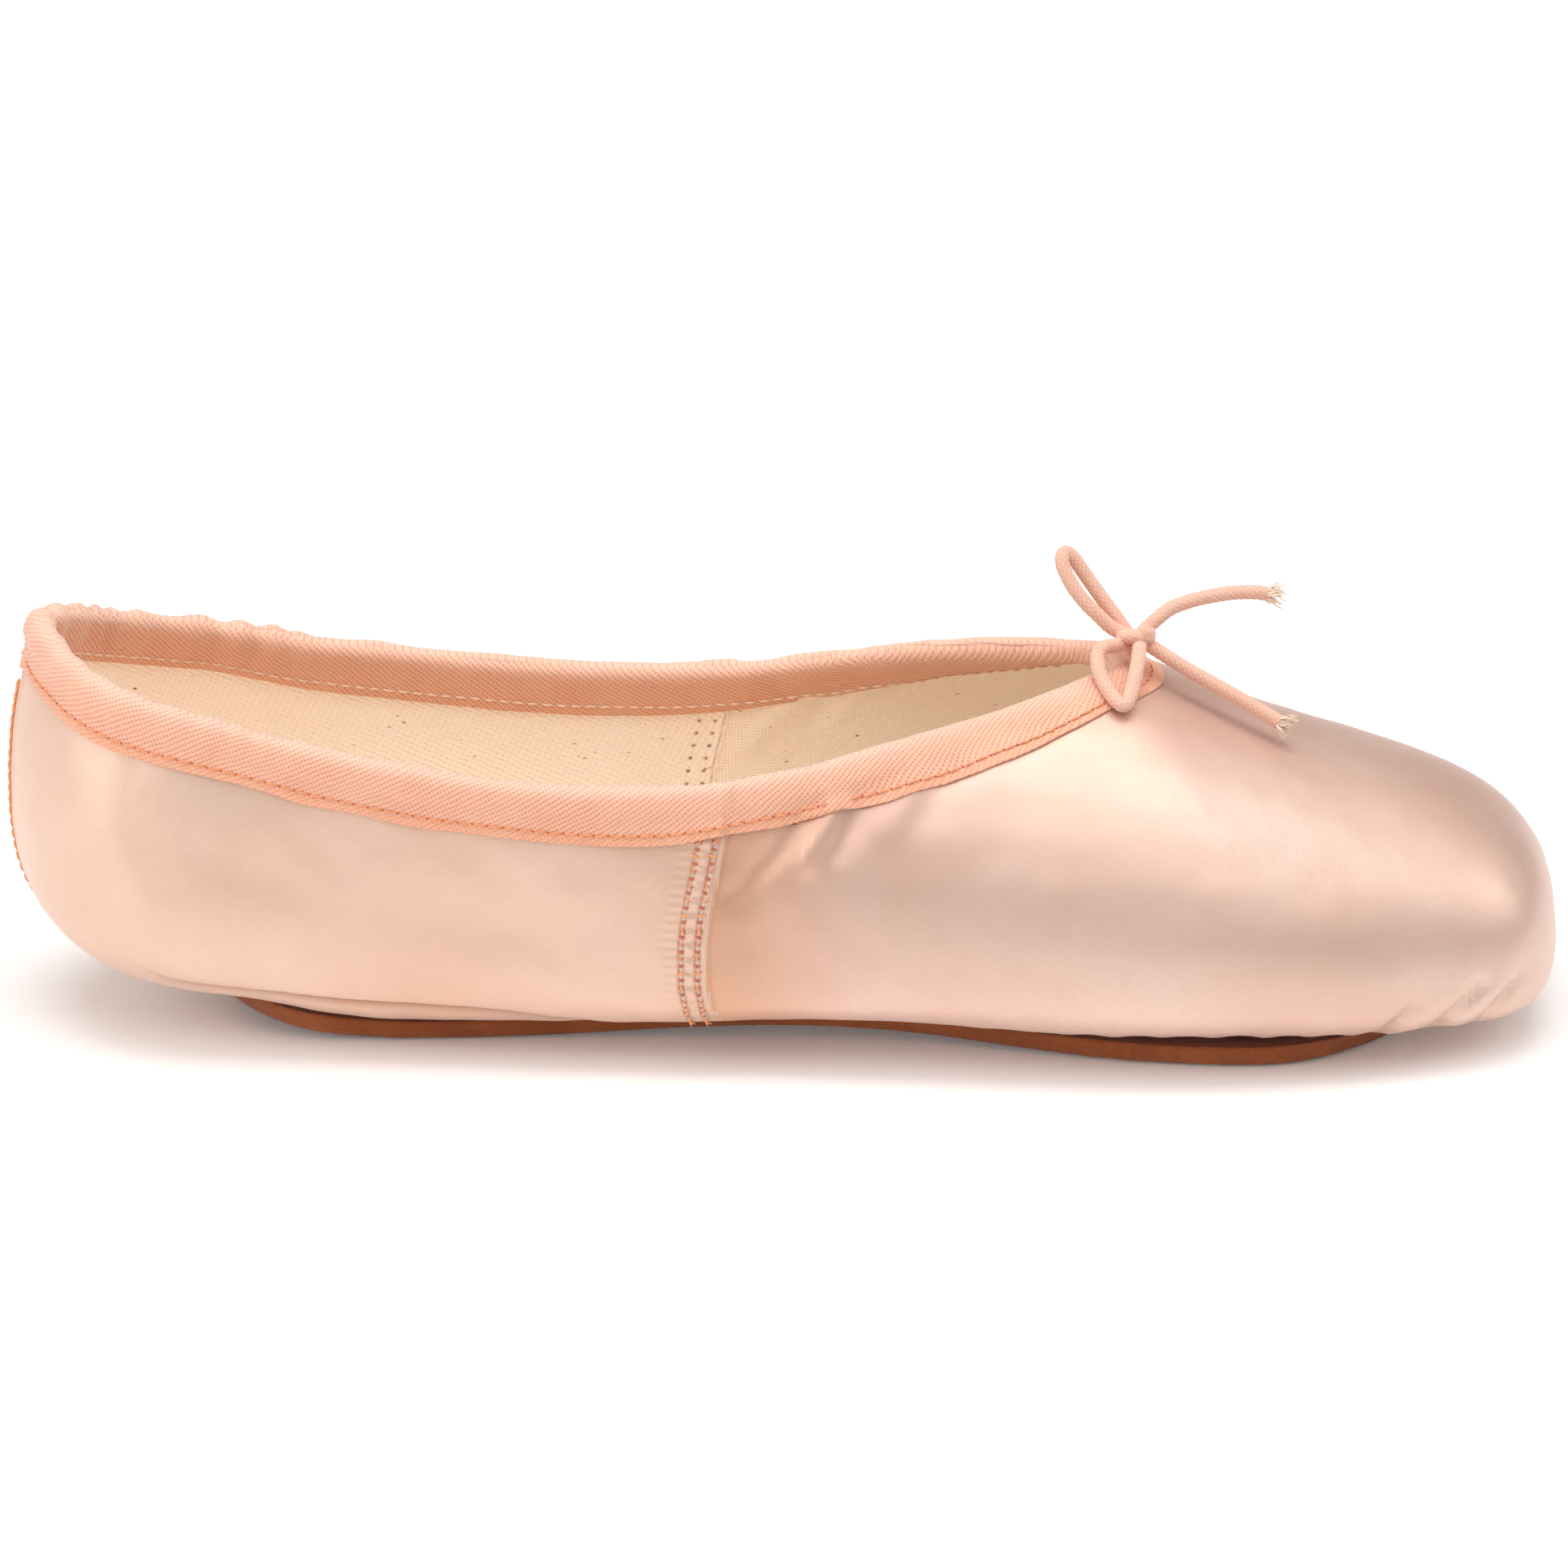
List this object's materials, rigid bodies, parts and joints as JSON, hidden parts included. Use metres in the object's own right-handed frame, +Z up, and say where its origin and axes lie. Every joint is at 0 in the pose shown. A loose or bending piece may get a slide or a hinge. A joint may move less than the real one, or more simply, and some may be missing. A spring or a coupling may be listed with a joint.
{
  "type": "pointe shoe",
  "caption": "Satin ballet pointe shoe with a hollow hardened toe box, bound open collar, leather outsole and a tied drawstring at the throat.",
  "frame": {"origin": "centre of the shoe's outline at the floor that it stands on", "axes": "+X from heel to toe, +Y to the left, +Z up"},
  "size_m": [0.2299, 0.0784, 0.0694],
  "materials": {
    "satin": "satin",
    "twill": "matte",
    "suede": "matte",
    "sock": "matte",
    "braid": "matte"
  },
  "bodies": {
    "root": {"upper": "satin", "binding": "twill", "outsole": "suede", "insole": "sock", "drawstring_knot": "braid", "drawstring_loop_far": "braid", "drawstring_loop_near": "braid", "drawstring_end_high": "braid", "drawstring_end_low": "braid"}
  },
  "joints": []
}
